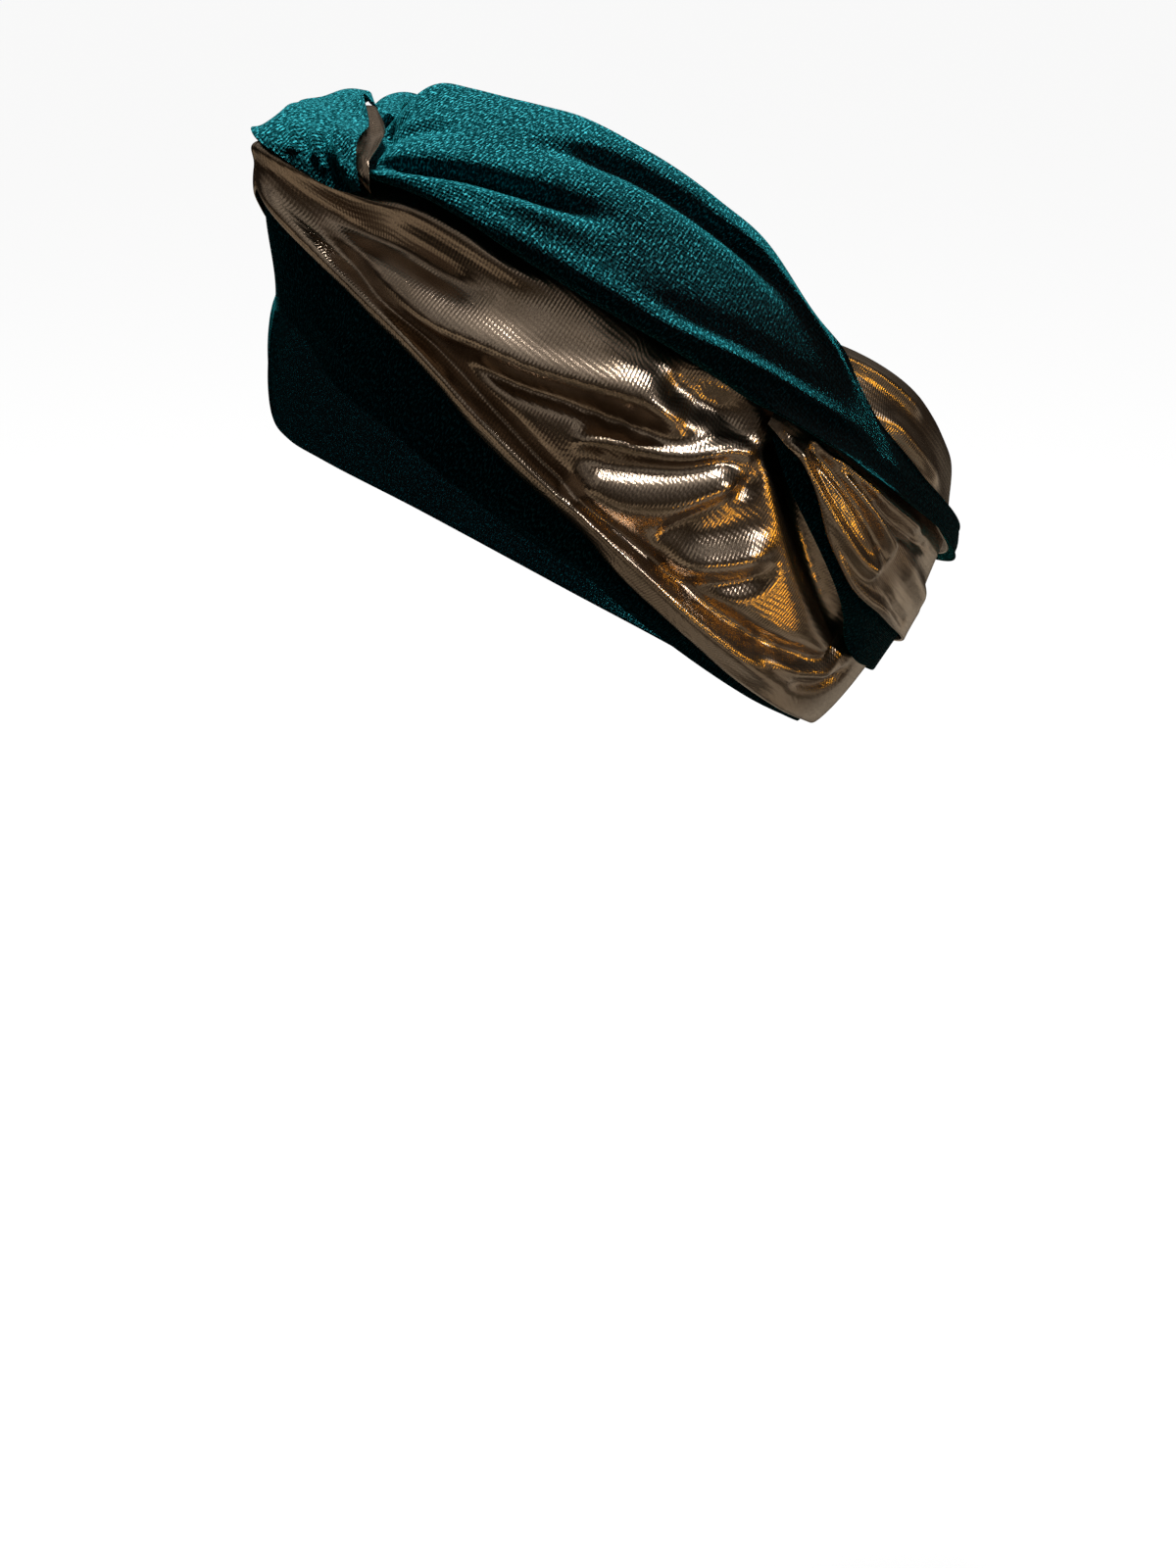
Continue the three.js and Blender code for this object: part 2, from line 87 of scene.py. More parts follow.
def head_point(angle, height, lift):
    """Points in metres on the head form, from degrees round it and mm along it and off it."""
    a = np.radians(angle)
    to_nape = (1 - np.cos(a)) / 2
    tall = np.where(height > 0, CROWN, BROW_DROP + (NAPE_DROP - BROW_DROP) * to_nape)
    rise = height / tall
    x = HALF_WIDTH * np.sin(a) * np.cos(rise)
    y = -HALF_DEPTH * np.cos(a) * np.cos(rise)
    z = tall * np.sin(rise)
    out = np.stack([x / HALF_WIDTH ** 2, y / HALF_DEPTH ** 2, z / tall ** 2], -1)
    out /= np.linalg.norm(out, axis=-1, keepdims=True)
    point = np.stack([x, y, z], -1) + out * lift[..., None]
    c, s = math.cos(RING_TILT), math.sin(RING_TILT)
    turn = np.array([[1, 0, 0], [0, c, -s], [0, s, c]])
    return point @ turn / MM_PER_METRE


def turned(angle):
    """The same direction, as an angle between -180 and 180."""
    return (angle + 180) % 360 - 180


print("ring about", round(math.pi * (HALF_WIDTH + HALF_DEPTH) / 10, 1), "cm round")

# %% [markdown]
# ## Reading the tables
# Each sheet is a short table: a row per station round the head, with its lower and upper edge,
# the lift of both edges and the puff between them. Between rows the values follow a smooth
# curve, so that no kink shows at a row.

# %% Smooth table reader


def read_rows(rows, at):
    """Each column's value at the places asked for, on a smooth curve through the rows."""
    rows = np.array(rows, float)
    x, y = rows[:, 0], rows[:, 1:]
    if x[-1] < x[0]:
        x, at = -x, -at
    step = np.diff(x)[:, None]
    rise = np.diff(y, axis=0) / step
    slope = np.concatenate([rise[:1], (rise[:-1] * step[1:] + rise[1:] * step[:-1])
                            / (step[1:] + step[:-1]), rise[-1:]])
    at = np.clip(at, x[0], x[-1])
    i = np.clip(np.searchsorted(x, at, side="right") - 1, 0, len(x) - 2)
    h = step[i]
    t = ((at - x[i])[:, None]) / h
    return (y[i] * (2 * t ** 3 - 3 * t ** 2 + 1) + y[i + 1] * (3 * t ** 2 - 2 * t ** 3)
            + slope[i] * h * (t ** 3 - 2 * t ** 2 + t) + slope[i + 1] * h * (t ** 3 - t ** 2))


halfway = read_rows([(0, 0.0), (1, 1.0), (2, 4.0)], np.array([1.5]))
print("a curve through 0, 1 and 4 passes", round(float(halfway[0, 0]), 3), "between the last two")

# %% [markdown]
# ## Folds
# A fold is a line of places over the sheet with a height and a half width on each of its two
# sides. A small half width gives a steep side, as where cloth doubles over. A minus height is
# a valley. Its last two numbers are the shares of its length over which it rises and dies away.
# Each line is rounded through its points first, because a kink in a fold would show as a broken
# highlight on the shiny side.

# %% Fold heights
FOLD_STEPS = 28


def fold_curve(line):
    line = np.array(line, float)
    steps = np.diff(line, axis=0) * [MM_PER_DEGREE, 1]
    at = np.concatenate([[0], np.cumsum(np.hypot(*steps.T))])
    return read_rows(np.column_stack([at, line]), np.linspace(0, at[-1], FOLD_STEPS))


def fold_height(folds, angle, height):
    """What all the folds together add to the lift at each place."""
    total = np.zeros(angle.shape)
    for line, rise, below, above, fade_in, fade_out in folds:
        curve = fold_curve(line)
        near = np.full(angle.shape, np.inf)
        along = np.zeros(angle.shape)
        side = np.zeros(angle.shape)
        for k in range(FOLD_STEPS - 1):
            (a0, h0), (a1, h1) = curve[k], curve[k + 1]
            dx, dy = (a1 - a0) * MM_PER_DEGREE, h1 - h0
            x = turned(angle - a0) * MM_PER_DEGREE
            y = height - h0
            t = np.clip((x * dx + y * dy) / (dx * dx + dy * dy), 0, 1)
            away = np.hypot(x - t * dx, y - t * dy)
            closer = away < near
            near = np.where(closer, away, near)
            along = np.where(closer, (k + t) / (FOLD_STEPS - 1), along)
            side = np.where(closer, dx * y - dy * x, side)
        width = np.where(side > 0, above, below)
        fade = np.clip(along / fade_in, 0, 1) * np.clip((1 - along) / fade_out, 0, 1)
        fade = fade * fade * (3 - 2 * fade)
        total += rise * fade * np.exp(-(near / width) ** 2)
    return total


print("every fold is a curve of", FOLD_STEPS, "points")

# %% [markdown]
# ## The twist
# Where the two ends cross, the crossing stands proud of the forehead and lifts every layer that
# passes over it. One smooth bump, added to all sheets alike, does that.

# %% Twist
KNOT_RISE, KNOT_HALF_ANGLE, KNOT_HEIGHT = 20.0, 9.0, 3.0
KNOT_FALL_BELOW, KNOT_FALL_ABOVE = 20.0, 11.0


def twist_lift(angle, height):
    fall = np.where(height < KNOT_HEIGHT, KNOT_FALL_BELOW, KNOT_FALL_ABOVE)
    return (KNOT_RISE * np.exp(-(turned(angle) / KNOT_HALF_ANGLE) ** 2)
            * np.exp(-((height - KNOT_HEIGHT) / fall) ** 2))


print("the twist stands", KNOT_RISE, "mm proud")

# %% [markdown]
# ## Laying one sheet over another
# Cloth can't pass through cloth. We keep a fine map of how high the topmost layer stands at
# every place on the head. A new sheet is lifted wherever it would sink into the map, and the
# lift is spread to its neighbours, so the sheet bridges a step as real cloth does.

# %% Map of what already lies on the head
MAP_PER_DEGREE = 3
MAP_LOW, MAP_HIGH, MAP_PER_MM = -80.0, 75.0, 1.5
NOTHING_LAID = -50.0
laid = np.full((360 * MAP_PER_DEGREE, int((MAP_HIGH - MAP_LOW) * MAP_PER_MM) + 1), NOTHING_LAID)


def map_cell(angle, height):
    a = np.floor((angle % 360) * MAP_PER_DEGREE).astype(int) % laid.shape[0]
    h = np.clip(np.round((height - MAP_LOW) * MAP_PER_MM).astype(int), 0, laid.shape[1] - 1)
    return a, h


def widen(grid):
    """Every cell takes the highest value among itself and its eight neighbours."""
    round_head = np.maximum(grid, np.maximum(np.roll(grid, 1, 0), np.roll(grid, -1, 0)))
    out = round_head.copy()
    out[:, 1:] = np.maximum(out[:, 1:], round_head[:, :-1])
    out[:, :-1] = np.maximum(out[:, :-1], round_head[:, 1:])
    return out


def spread(grid):
    """Every cell is averaged with its neighbours."""
    pad = np.pad(grid, 1, mode="edge")
    rows = (pad[:-2] + 2 * pad[1:-1] + pad[2:]) / 4
    return (rows[:, :-2] + 2 * rows[:, 1:-1] + rows[:, 2:]) / 4


def fill(coarse, times):
    """A finer grid from a coarse one, straight between its points."""
    for axis in (0, 1):
        n = coarse.shape[axis]
        at = np.linspace(0, n - 1, (n - 1) * times + 1)
        low = np.clip(np.floor(at).astype(int), 0, n - 2)
        t = at - low
        t = t[:, None] if axis == 0 else t[None, :]
        coarse = np.take(coarse, low, axis) * (1 - t) + np.take(coarse, low + 1, axis) * t
    return coarse


print("map of", laid.shape[0], "by", laid.shape[1], "cells")

# %% [markdown]
# ## Where the rows of a sheet go
# The fine folds are on the wearer's left, where the picture shows them. A sheet's rows lie close
# together there and wider apart elsewhere, which keeps the number of faces down.

# %% Stations round the head
SEEN_FROM, SEEN_TO, SEEN_EASE, SEEN_DENSER = -15, 142, 12, 2.6
STATION_STEPS = 1500


def stations(first, last, count):
    angle = np.linspace(first, last, STATION_STEPS)
    seen = (np.clip((turned(angle) - SEEN_FROM) / SEEN_EASE, 0, 1)
            * np.clip((SEEN_TO - turned(angle)) / SEEN_EASE, 0, 1))
    run = np.concatenate([[0], np.cumsum(1 + SEEN_DENSER * seen[1:])])
    return np.interp(np.linspace(0, run[-1], count + 1), run, angle)


widths = np.diff(stations(0, 360, 300))
print("rows", round(float(widths.min()), 2), "to", round(float(widths.max()), 2), "degrees apart")

# %% [markdown]
# ## Laying one sheet
# A sheet is worked out as three grids: angle, height and lift. Its lift is the line between its
# two edges, plus the puff, the folds and the twist, plus what the map asks for.

# %% Lay a sheet
SPREADS = 30
EDGE_CROWDING = 0.65
REST_GAP, WALL_ROOM = 0.35, 1.35
MAP_FINER = 6


def lay_sheet(rows, cells, wall, roundness, folds):
    """Angles, heights and lifts of a sheet's outer face, over all that is laid so far."""
    along, across = cells
    angles = stations(rows[0][0], rows[-1][0], along)
    low, high, low_lift, high_lift, puff = [c[:, None] for c in read_rows(rows, angles).T]
    even = np.linspace(0, 1, across + 1)
    v = EDGE_CROWDING * (1 - np.cos(np.pi * even)) / 2 + (1 - EDGE_CROWDING) * even
    v = v[None, :]
    height = low + (high - low) * v
    angle = np.repeat(angles[:, None], across + 1, 1)
    arch = (1 - np.abs(2 * v - 1) ** roundness) ** (1 / roundness)
    lift = low_lift + (high_lift - low_lift) * v + puff * arch
    lift = lift + fold_height(folds, angle, height) + twist_lift(angle, height) + wall
    need = widen(widen(laid))[map_cell(angle, height)] + REST_GAP + WALL_ROOM * wall
    lack = np.maximum(need - lift, 0)
    raised = lack
    for _ in range(SPREADS):
        raised = np.maximum(lack, spread(raised))
    lift = lift + raised
    fine_angle, fine_height, fine_lift = [fill(g, MAP_FINER) for g in (angle, height, lift)]
    np.maximum.at(laid, map_cell(fine_angle, fine_height), fine_lift)
    return angle, height, lift


print("a sheet is laid at least", REST_GAP, "mm off the one below")

# %% [markdown]
# ## From a flat grid to cloth
# A sheet starts as a flat grid, the way a cut piece of cloth starts flat. Its points are moved
# onto the head, Solidify gives it a wall and Subdivision Surface rounds its edges like a turned
# hem. Its UV map is measured along and across the cloth in metres, so the knit has one size on
# every piece and follows the folds.

# %% Place the points of a flat grid
MERGE_DISTANCE = 1e-6


def place_grid(mesh, point, cells):
    """Move a flat grid's points to their places, and give it a UV map in metres."""
    along, across = cells
    flat = np.empty(len(mesh.vertices) * 3)
    mesh.vertices.foreach_get("co", flat)
    flat = flat.reshape(-1, 3)
    i = np.round((flat[:, 0] + 1) / 2 * along).astype(int)
    j = np.round((flat[:, 1] + 1) / 2 * across).astype(int)
    mesh.vertices.foreach_set("co", point[i, j].ravel())
    run = np.linalg.norm(np.diff(point, axis=0), axis=-1)
    run = np.concatenate([[0], np.cumsum(run.mean(1))])
    rise = np.linalg.norm(np.diff(point, axis=1), axis=-1)
    rise = np.concatenate([np.zeros((along + 1, 1)), np.cumsum(rise, 1)], 1)
    rise -= rise[:, across // 2][:, None]
    loops = np.empty(len(mesh.loops), int)
    mesh.loops.foreach_get("vertex_index", loops)
    uv = np.stack([run[i[loops]], rise[i[loops], j[loops]]], -1)
    mesh.uv_layers[0].data.foreach_set("uv", uv.ravel())
    mesh.update()
    return float(run[-1])


print("points closer than", MERGE_DISTANCE * MM_PER_METRE, "mm are joined where a ring closes")

# %% Cloth maker


def give_wall(piece, wall):
    """Give the active piece a wall, round its edges and apply both."""
    solid = piece.modifiers.new("wall", "SOLIDIFY")
    solid.thickness = wall / MM_PER_METRE
    solid.offset = -1
    solid.use_even_offset = True
    solid.thickness_clamp = 1.0
    smooth = piece.modifiers.new("round", "SUBSURF")
    smooth.levels = smooth.render_levels = 1
    bpy.ops.object.modifier_apply(modifier="wall")
    bpy.ops.object.modifier_apply(modifier="round")
    bpy.ops.object.shade_smooth()


def cloth(name, places, cells, wall, closed):
    """A finished sheet of cloth from the grids that lay_sheet gives."""
    bpy.ops.object.select_all(action="DESELECT")
    bpy.ops.mesh.primitive_grid_add(x_subdivisions=cells[0], y_subdivisions=cells[1], size=2)
    piece = bpy.context.object
    piece.name = name
    point = head_point(*places)
    length = place_grid(piece.data, point, cells)
    bpy.ops.object.mode_set(mode="EDIT")
    bpy.ops.mesh.select_all(action="SELECT")
    if closed:
        bpy.ops.mesh.remove_doubles(threshold=MERGE_DISTANCE)
    angle = places[0]
    if angle[-1, 0] < angle[0, 0]:
        bpy.ops.mesh.flip_normals()
    bpy.ops.object.mode_set(mode="OBJECT")
    give_wall(piece, wall)
    steps_along = point[1:, :-1] - point[:-1, :-1]
    steps_across = point[:-1, 1:] - point[:-1, :-1]
    area = np.linalg.norm(np.cross(steps_along, steps_across), axis=-1).sum()
    triangles = sum(len(p.vertices) - 2 for p in piece.data.polygons)
    print(name, round(float(area), 4), "m2,", round(length, 3), "m long,", triangles, "triangles")
    return piece


# %% [markdown]
# ## Materials: stretch velvet
# Velvet is a knit with a short standing pile. It is nearly black where we look down into the
# pile and lights up where light skims along it, which is what Sheen does. Fine knit rows show
# through, and the glints of single fibres are painted into the base colour as bright teal specks.
# The rows follow the cloth, so they read its UV map.

# %% Node helpers
def nodes_of(name):
    material = bpy.data.materials.new(name)
    material.use_nodes = True
    tree = material.node_tree
    return material, tree, tree.nodes["Principled BSDF"]


def add_node(tree, kind, **values):
    node = tree.nodes.new(kind)
    for key, value in values.items():
        if key in node.inputs:
            node.inputs[key].default_value = value
        else:
            setattr(node, key, value)
    return node


def math_node(tree, operation, a, b=None):
    node = add_node(tree, "ShaderNodeMath", operation=operation)
    for slot, value in ((0, a), (1, b)):
        if value is None:
            continue
        if hasattr(value, "links"):
            tree.links.new(value, node.inputs[slot])
        else:
            node.inputs[slot].default_value = value
    return node.outputs[0]


def weighted(tree, first, first_share, second, second_share):
    """The sum of two values, each times its own share."""
    return math_node(tree, "ADD", math_node(tree, "MULTIPLY", first, first_share),
                     math_node(tree, "MULTIPLY", second, second_share))


def noise(tree, place, scale, detail):
    node = add_node(tree, "ShaderNodeTexNoise", Scale=scale, Detail=detail)
    tree.links.new(place, node.inputs["Vector"])
    return node.outputs["Fac"]


# %% Colour helpers
FULL = 1.0


def ramp(tree, value, low, high, low_color, high_color):
    node = add_node(tree, "ShaderNodeValToRGB")
    node.color_ramp.elements[0].position = low
    node.color_ramp.elements[1].position = high
    node.color_ramp.elements[0].color = (*low_color, 1)
    node.color_ramp.elements[1].color = (*high_color, 1)
    tree.links.new(value, node.inputs[0])
    return node.outputs[0]


def combine(tree, how, first, second):
    """Two colours added or multiplied, in full strength."""
    node = add_node(tree, "ShaderNodeMix", data_type="RGBA", blend_type=how)
    node.inputs[0].default_value = FULL
    tree.links.new(first, node.inputs[6])
    tree.links.new(second, node.inputs[7])
    return node.outputs[2]


def add_bump(tree, shader, height, strength, distance):
    node = add_node(tree, "ShaderNodeBump", Strength=strength, Distance=distance)
    tree.links.new(height, node.inputs["Height"])
    tree.links.new(node.outputs[0], shader.inputs["Normal"])


# %% Knit
KNIT_WOBBLE_SCALE, KNIT_WOBBLE = 60.0, 3.0


def knit_rows(tree, column_width, stitch_height):
    """The UV map, and the ups and downs of a fine knit on it. Both widths are in metres."""
    uv = add_node(tree, "ShaderNodeUVMap").outputs[0]
    split = add_node(tree, "ShaderNodeSeparateXYZ")
    tree.links.new(uv, split.inputs[0])
    wobble = math_node(tree, "MULTIPLY", noise(tree, uv, KNIT_WOBBLE_SCALE, 2.0), KNIT_WOBBLE)
    turns = math_node(tree, "MULTIPLY", split.outputs[0], 2 * math.pi / column_width)
    column = math_node(tree, "SINE", math_node(tree, "ADD", turns, wobble))
    turns = math_node(tree, "MULTIPLY", split.outputs[1], 2 * math.pi / stitch_height)
    stitch = math_node(tree, "SINE", turns)
    return uv, weighted(tree, column, 0.6, stitch, 0.4)


# %% Velvet
DEEP_TEAL, MID_TEAL = (0.0008, 0.024, 0.029), (0.0014, 0.044, 0.051)
NO_PAINTED_GLINT, PAINTED_GLINT_TEAL = (0.0, 0.0, 0.0), (0.06, 0.50, 0.56)
SHEEN_TEAL = (0.02, 0.52, 0.56, 1)
velvet, tree, shader = nodes_of("teal_velvet")
uv, rows_height = knit_rows(tree, column_width=0.0011, stitch_height=0.0009)
lean = add_node(tree, "ShaderNodeMapping", Scale=(1.0, 0.45, 1.0))
tree.links.new(uv, lean.inputs["Vector"])
# Painted glints: bright teal specks added to the base colour stand in for single fibres catching
# the light.
glint_specks = noise(tree, lean.outputs[0], 1900.0, 1.0)
patches = noise(tree, uv, 45.0, 3.0)
deep = ramp(tree, patches, 0.3, 0.7, DEEP_TEAL, MID_TEAL)
painted_glint = ramp(tree, glint_specks, 0.50, 0.74, NO_PAINTED_GLINT, PAINTED_GLINT_TEAL)
tree.links.new(combine(tree, "ADD", deep, painted_glint), shader.inputs["Base Color"])
shader.inputs["Roughness"].default_value = 0.72
shader.inputs["Specular IOR Level"].default_value = 0.03
shader.inputs["Sheen Weight"].default_value = 0.3
shader.inputs["Sheen Roughness"].default_value = 0.38
shader.inputs["Sheen Tint"].default_value = SHEEN_TEAL
pile = weighted(tree, rows_height, 0.5, noise(tree, uv, 1200.0, 2.0), 1.6)
add_bump(tree, shader, pile, strength=0.6, distance=0.0006)
print(velvet.name, len(tree.nodes), "nodes")

# %% [markdown]
# ## Materials: bronze foil knit
# The other face is a fine knit with a metal foil pressed on it. It mirrors softly, so its looks
# come from its folds and from the lights around it. Fine ribs break the mirror a little, and the
# foil is thinner in places, which makes it a darker brown.

# %% Foil knit
DARK_BRONZE, PALE_BRONZE = (0.36, 0.265, 0.185), (0.52, 0.405, 0.305)
GRAIN_DARK, GRAIN_PALE = (0.72, 0.72, 0.72), (1.0, 1.0, 1.0)
FOIL_ROUGHNESS, FOIL_WEAR = 0.17, 0.12
lame, tree, shader = nodes_of("bronze_foil_knit")
uv, rows_height = knit_rows(tree, column_width=0.0010, stitch_height=0.0016)
tone = ramp(tree, noise(tree, uv, 38.0, 4.0), 0.25, 0.75, DARK_BRONZE, PALE_BRONZE)
grain = ramp(tree, noise(tree, uv, 2400.0, 1.0), 0.35, 0.75, GRAIN_DARK, GRAIN_PALE)
tree.links.new(combine(tree, "MULTIPLY", tone, grain), shader.inputs["Base Color"])
shader.inputs["Metallic"].default_value = 0.93
worn = math_node(tree, "MULTIPLY", noise(tree, uv, 90.0, 3.0), FOIL_WEAR)
worn = math_node(tree, "ADD", worn, FOIL_ROUGHNESS)
tree.links.new(worn, shader.inputs["Roughness"])
shader.inputs["Coat Weight"].default_value = 0.12
shader.inputs["Coat Roughness"].default_value = 0.22
ribs = weighted(tree, rows_height, 0.5, noise(tree, uv, 1700.0, 2.0), 0.7)
add_bump(tree, shader, ribs, strength=0.22, distance=0.0003)
print(lame.name, len(tree.nodes), "nodes")

# %% [markdown]
# ## Dressing a piece
# Every sheet is made in the same way: it is laid, made into cloth, given its material and tied
# to the part's body. The wall is in millimetres. The roundness says how fast a sheet rises from
# its edges: 2 is an arch, and more is a flatter top with steeper edges.

# %% Dress a piece
VELVET_WALL, LAME_WALL = 1.3, 0.9
ROUND_BAND, ROUND_UPPER, ROUND_LOOP = 2.6, 4.0, 2.0


def dress(name, rows, cells, material, folds=(), roundness=ROUND_BAND, closed=False):
    wall = VELVET_WALL if material is velvet else LAME_WALL
    places = lay_sheet(rows, cells, wall, roundness, folds)
    piece = cloth(name, places, cells, wall, closed)
    piece.data.materials.clear()
    piece.data.materials.append(material)
    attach(piece, "root")
    return piece


print("walls", VELVET_WALL, "mm of velvet and", LAME_WALL, "mm of foil knit")

# %% [markdown]
# ## Lower band, velvet face
# The inner face of the first pass. It lies smooth on the head all round and shows as a dark
# strip below the foil face.

# %% Lower band, velvet face
LINING_ROWS = [
    (0, -28, 6, 4, 4.5, 0), (5, -30, 7, 2.5, 4, 0), (18, -38.3, 8, 1.5, 2, 0),
    (34.6, -41.6, 9, 1.5, 1.5, 0), (50, -45.6, 12, 1.5, 1.5, 0), (62.7, -47.4, 14, 1.5, 1.5, 0),
    (76, -47.8, 18, 1.5, 1.5, 0), (85, -50.1, 20, 1.5, 1.5, 0), (99.6, -52, 22, 1.5, 1.5, 0),
    (117, -52.6, 24, 1.5, 1.5, 0), (135, -51.3, 25, 1.5, 1.5, 0), (180, -50, 25, 1.5, 1.5, 0),
    (210, -51, 25, 1.5, 1.5, 0), (240, -54, 23, 1.5, 1.5, 0), (270, -57, 18, 1.5, 1.5, 0),
    (300, -60, 13, 1.5, 1.5, 0), (315, -60, 11, 1.5, 1.5, 0), (328, -56, 9, 1.5, 1.5, 0),
    (336, -48, 8, 1.5, 2, 0), (343, -38, 7.5, 2, 3, 0), (350, -30, 7, 3, 4, 0),
    (360, -28, 6, 4, 4.5, 0),
]
lining_folds = [
    ([(4, -24), (25, -32), (45, -38)], 1.4, 2.0, 2.0, 0.2, 0.3),
    ([(8, -21), (22, -27), (38, -33)], -1.3, 1.4, 1.4, 0.2, 0.3),
    ([(44, -40.8), (62.7, -43.9), (76, -44.6), (88, -46.6), (102, -48.6)], 2.6, 1.8, 2.6, 0.3, 0.2),
    ([(325, -50), (338, -36), (350, -22)], 1.4, 2.0, 2.0, 0.2, 0.2),
]
lower_lining = dress("lower_band_velvet", LINING_ROWS, (300, 26), velvet, lining_folds,
                     closed=True)
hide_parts("lower_band_lining")

# %% [markdown]
# ## Lower band, foil face
# The main face of the object: narrow at the twist, opening over the temple into a wide smooth
# area with a few deep folds that run in from the front, and a rolled hem along its lower edge.
# Its upper edge runs on under the upper bands and the loop, which narrows the gaps there.

# %% Lower band, foil face
LOWER_ROWS = [
    (0, -4.0, 9.2, 7.5, 9.0, 1.5), (3, -6.2, 9.2, 7.5, 9.0, 1.5), (6.8, -9.4, 9.6, 7, 9.2, 2),
    (11.3, -12.3, 12, 6, 9.5, 2.5), (15.1, -14.1, 16, 5, 9, 3), (19.6, -15.7, 19.5, 4.5, 8.5, 3.5),
    (24.8, -18.1, 21.5, 4, 8, 4), (29.4, -19.8, 23, 3.5, 7.5, 4.2), (36, -22.4, 24.4, 3.5, 7.5, 4),
    (42, -25.4, 24.8, 3.5, 7, 4), (47.5, -29.0, 25.2, 3.5, 6.5, 4), (54, -32.2, 25.4, 3.5, 6, 4),
    (60, -34.4, 25.2, 3.5, 5.2, 5), (68.5, -36.8, 24.6, 3.5, 4, 6), (79, -41.9, 24.2, 3.5, 3.5, 6),
    (90.2, -45.3, 25, 3.5, 3.5, 6), (106.8, -49.4, 26, 4, 2.5, 5), (123, -50, 26.5, 5.5, 2.2, 3),
    (138.6, -48.9, 27, 5, 2.2, 3), (180, -48, 27, 3.5, 3, 5), (210, -47, 27, 3.5, 3.5, 6),
    (240, -47, 25, 3.5, 3.5, 6), (270, -46, 22, 3.5, 3.5, 6), (300, -41, 20, 3.5, 3.5, 5),
    (315, -35, 17.5, 3.5, 4.5, 5), (330, -26, 15, 3.5, 6, 4), (340, -19, 13.5, 3.5, 7, 3),
    (350, -10, 11.5, 6, 8.5, 2), (356, -6, 9.8, 7, 9.0, 1.5), (360, -4.0, 9.2, 7.5, 9.0, 1.5),
]
